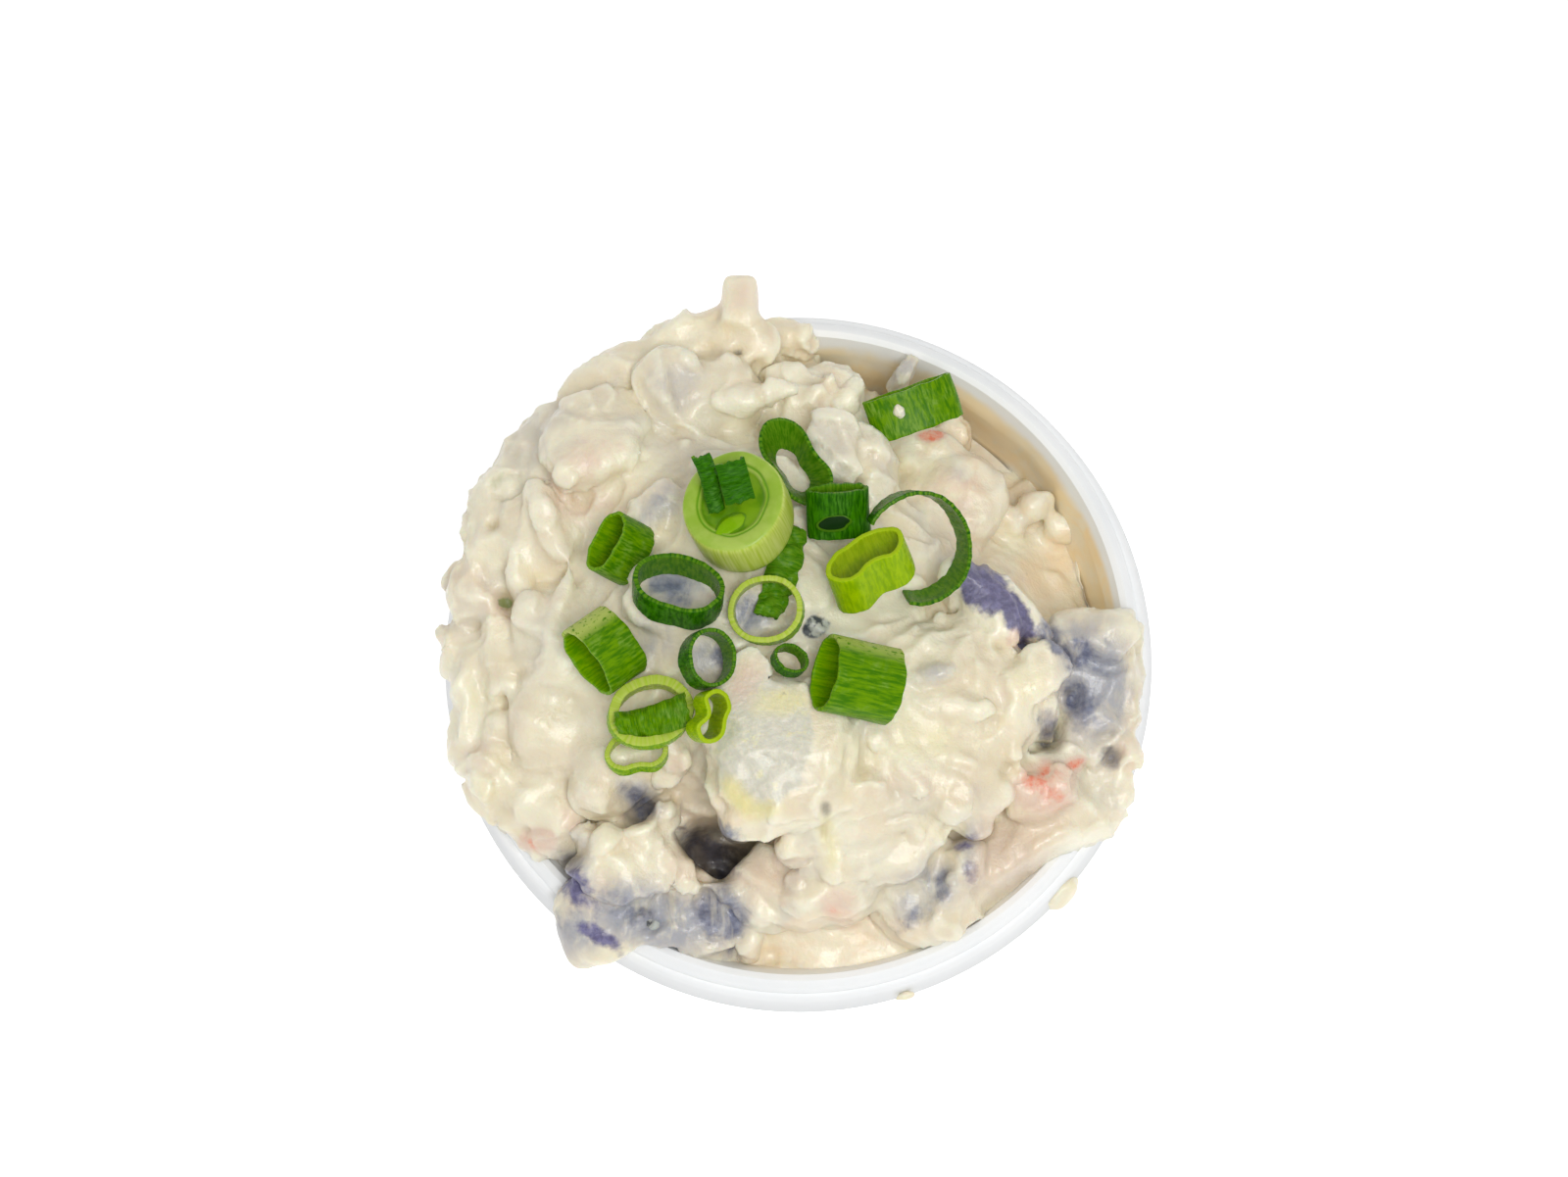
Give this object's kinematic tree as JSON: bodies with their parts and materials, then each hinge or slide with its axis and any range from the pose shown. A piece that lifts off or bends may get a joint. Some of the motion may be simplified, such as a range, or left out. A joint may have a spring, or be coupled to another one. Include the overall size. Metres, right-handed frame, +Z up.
{
  "type": "potato salad in a foam cup",
  "caption": "Heaped creamy potato salad with purple potato and crab bits in a small round foam cup, topped with cut scallion.",
  "frame": {"origin": "centre of the cup's flat underside", "axes": "+Z up out of the cup, +Y to the back, where a stick of potato stands out over the rim, +X to the right seen from the front"},
  "size_m": [0.0914, 0.0928, 0.0918],
  "materials": {
    "foam": "white expanded foam with a smooth moulded rim",
    "salad": "soft glossy cream dressing over potato",
    "pale_scallion": "moist yellow-green stalk",
    "green_scallion": "moist waxy green leaf"
  },
  "bodies": {
    "root": {"cup": "foam", "salad": "salad", "bulb_slice": "pale_scallion", "kidney_ring": "pale_scallion", "mid_light_ring": "pale_scallion", "light_ring_low": "pale_scallion", "low_partial_ring": "pale_scallion", "curled_bright": "pale_scallion", "dark_oval_ring": "green_scallion", "medium_ring": "green_scallion", "small_ring": "green_scallion", "hex_tube": "green_scallion", "striped_tube": "green_scallion", "front_right_tube": "green_scallion", "curled_loop": "green_scallion", "square_tube": "green_scallion", "big_thin_ring": "green_scallion", "back_right_tube": "green_scallion", "wrinkled_leaf": "green_scallion", "folded_leaf": "green_scallion", "leaf_sliver": "green_scallion", "leaf_chip": "green_scallion"}
  },
  "joints": []
}
